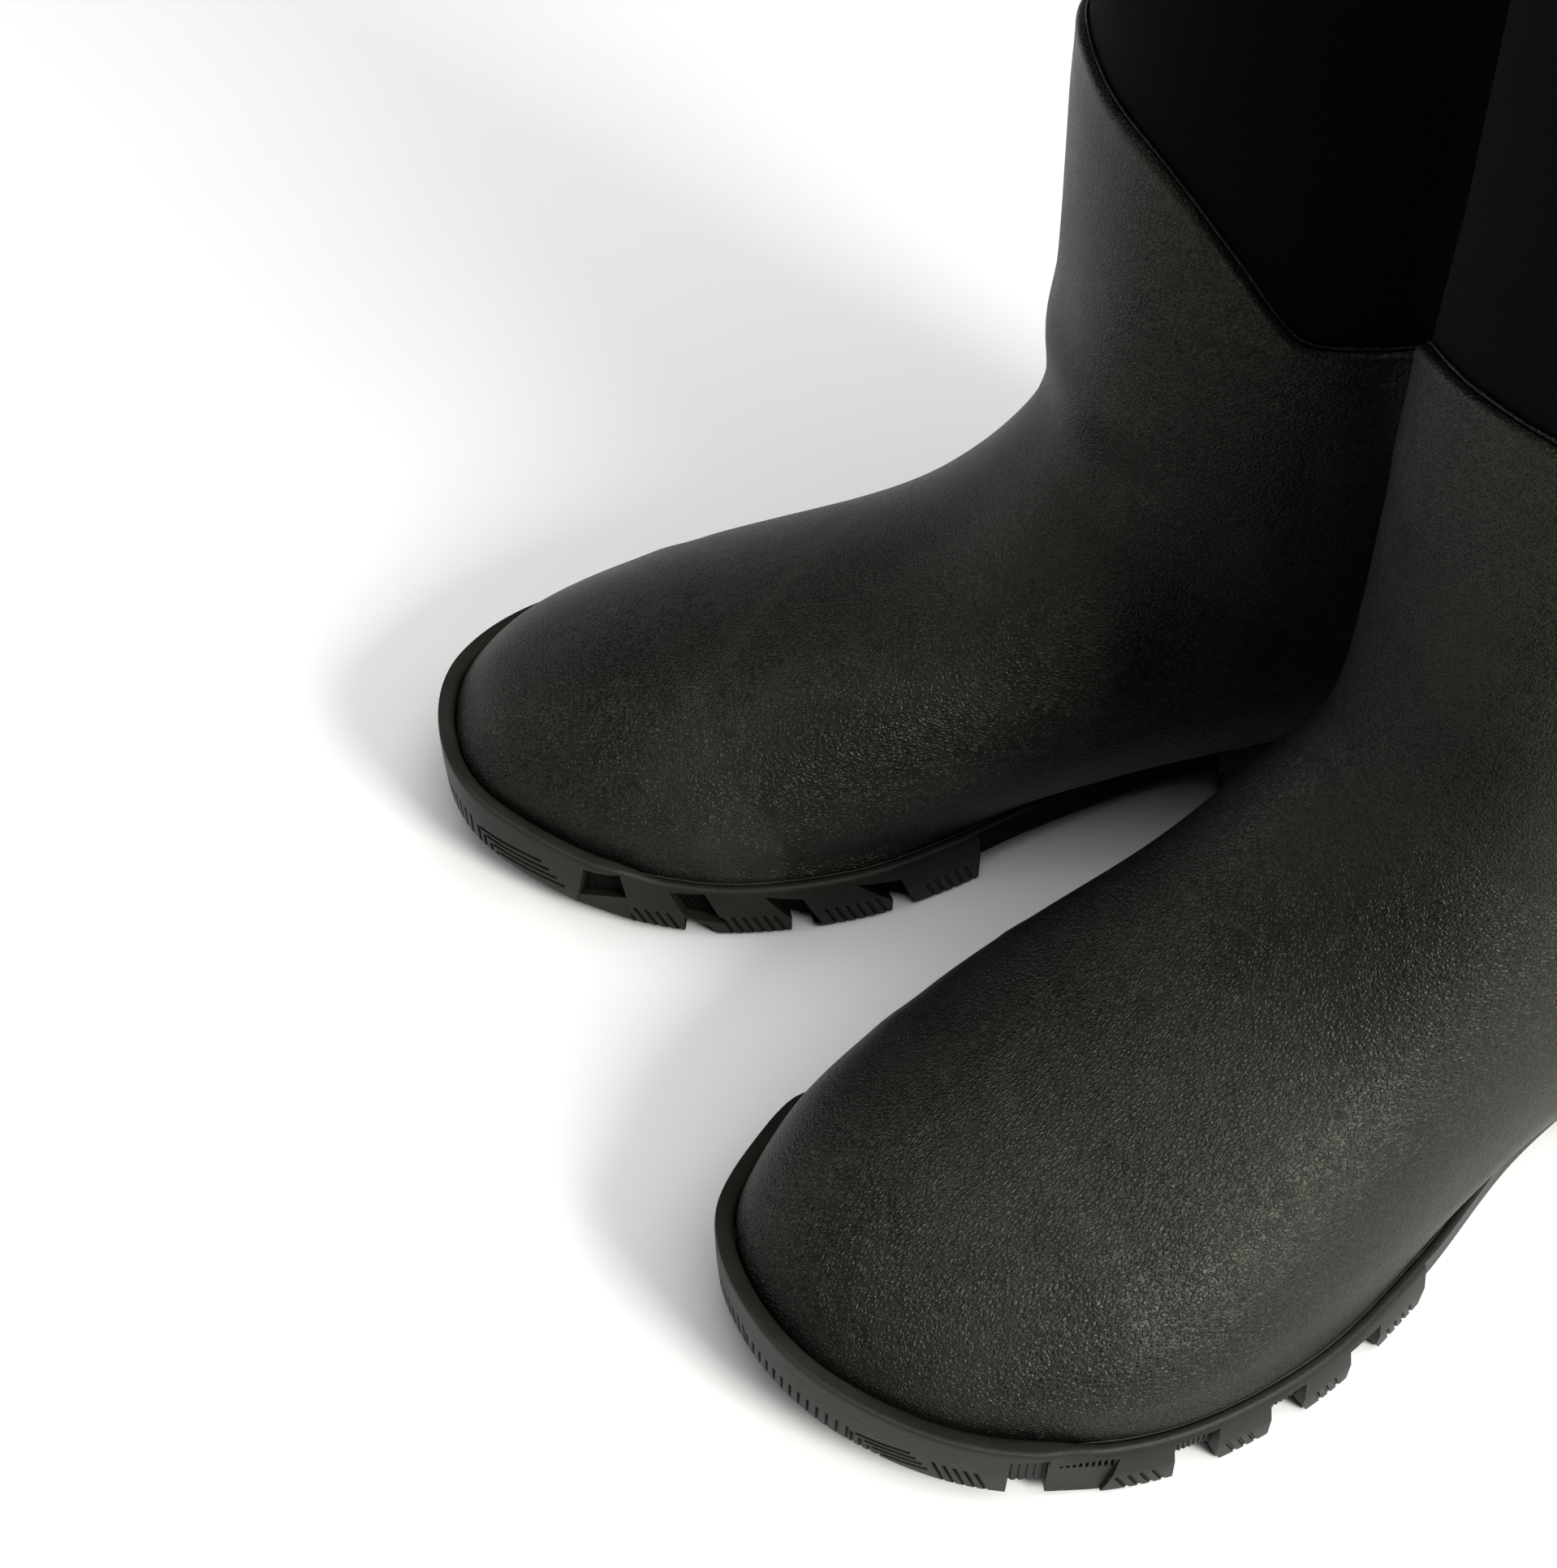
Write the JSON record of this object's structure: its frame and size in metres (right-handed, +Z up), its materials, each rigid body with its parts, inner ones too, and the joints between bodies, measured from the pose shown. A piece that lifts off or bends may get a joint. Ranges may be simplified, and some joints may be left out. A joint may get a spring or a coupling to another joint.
{
  "type": "pair of tall rubber boots",
  "caption": "Pair of tall pull-on boots with a pebbled rubber foot, a neoprene shaft and a lugged outsole; each shaft flexes at the ankle.",
  "frame": {"origin": "on the floor, under the centre of the pair's bounding box", "axes": "+Z up; -Y is the mean toe direction of the two boots; the left boot is on the +X side"},
  "size_m": [0.2932, 0.3198, 0.4],
  "materials": {
    "overlay_rubber": "satin, fine pebble grain",
    "outsole_rubber": "satin",
    "neoprene": "matte",
    "lining_fabric": "matte knit",
    "stiffener": "matte",
    "eva_foam": "matte",
    "board": "matte",
    "steel": "brushed",
    "webbing": "woven"
  },
  "bodies": {
    "left_foot": {"left_outsole": "outsole_rubber", "left_midsole": "eva_foam", "left_shank": "steel", "left_insole_board": "board", "left_footbed": "eva_foam", "left_heel_counter": "stiffener", "left_toe_puff": "stiffener", "left_rubber_foot": "overlay_rubber", "left_neoprene_foot": "neoprene", "left_lining_foot": "lining_fabric", "left_rubber_ankle": "overlay_rubber", "left_neoprene_ankle": "neoprene", "left_lining_ankle": "lining_fabric"},
    "left_shaft": {"left_rubber_shaft": "overlay_rubber", "left_neoprene_shaft": "neoprene", "left_lining_shaft": "lining_fabric", "left_topline_trim": "overlay_rubber", "left_back_seam_tape": "webbing", "left_cuff_binding": "webbing", "left_pull_tab": "webbing"},
    "right_foot": {"right_outsole": "outsole_rubber", "right_midsole": "eva_foam", "right_shank": "steel", "right_insole_board": "board", "right_footbed": "eva_foam", "right_heel_counter": "stiffener", "right_toe_puff": "stiffener", "right_rubber_foot": "overlay_rubber", "right_neoprene_foot": "neoprene", "right_lining_foot": "lining_fabric", "right_rubber_ankle": "overlay_rubber", "right_neoprene_ankle": "neoprene", "right_lining_ankle": "lining_fabric"},
    "right_shaft": {"right_rubber_shaft": "overlay_rubber", "right_neoprene_shaft": "neoprene", "right_lining_shaft": "lining_fabric", "right_topline_trim": "overlay_rubber", "right_back_seam_tape": "webbing", "right_cuff_binding": "webbing", "right_pull_tab": "webbing"}
  },
  "joints": [
    {"name": "left_ankle_flex", "type": "hinge", "parent": "left_foot", "child": "left_shaft", "pos_m": [0.05829, 0.07419, 0.135], "axis": [0.9789, 0.2045, 0], "range_deg": [-4, 15], "stiffness_Nm_per_rad": 4, "deforming": ["left_rubber_ankle", "left_neoprene_ankle", "left_lining_ankle"]},
    {"name": "right_ankle_flex", "type": "hinge", "parent": "right_foot", "child": "right_shaft", "pos_m": [-0.05829, 0.05119, 0.135], "axis": [0.9789, -0.2045, 0], "range_deg": [-4, 15], "stiffness_Nm_per_rad": 4, "deforming": ["right_rubber_ankle", "right_neoprene_ankle", "right_lining_ankle"]},
    {"name": "right_boot_lift", "type": "slide", "parent": "left_foot", "child": "right_foot", "axis": [0, 0, 1], "range_m": [0, 0.3]}
  ]
}
